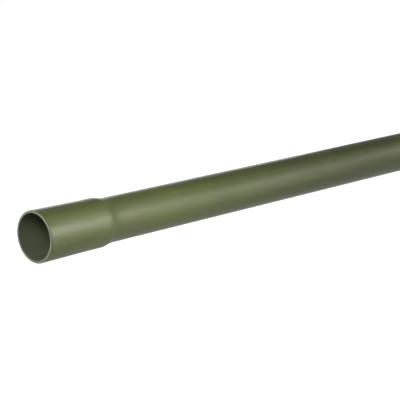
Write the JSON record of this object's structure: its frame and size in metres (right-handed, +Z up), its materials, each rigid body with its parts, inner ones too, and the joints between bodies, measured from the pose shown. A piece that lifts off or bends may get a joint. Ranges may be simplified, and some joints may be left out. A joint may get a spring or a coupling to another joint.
{
  "type": "rigid pvc electrical conduit",
  "caption": "Straight, thin-walled round plastic tube that carries and protects electric wires, with an end widened into a socket that takes the plain end of the next length.",
  "frame": {"origin": "centre of the bell's mouth, on the conduit's own axis and in the plane of the saw-cut ring", "axes": "+X runs along the axis from the bell to the plain end; +Z is up as the conduit lies on a level floor, which is one bell radius below the axis"},
  "size_m": [3, 0.0302, 0.0304],
  "materials": {
    "olive_pvc": "satin"
  },
  "bodies": {
    "root": {"conduit": "olive_pvc"}
  },
  "joints": []
}
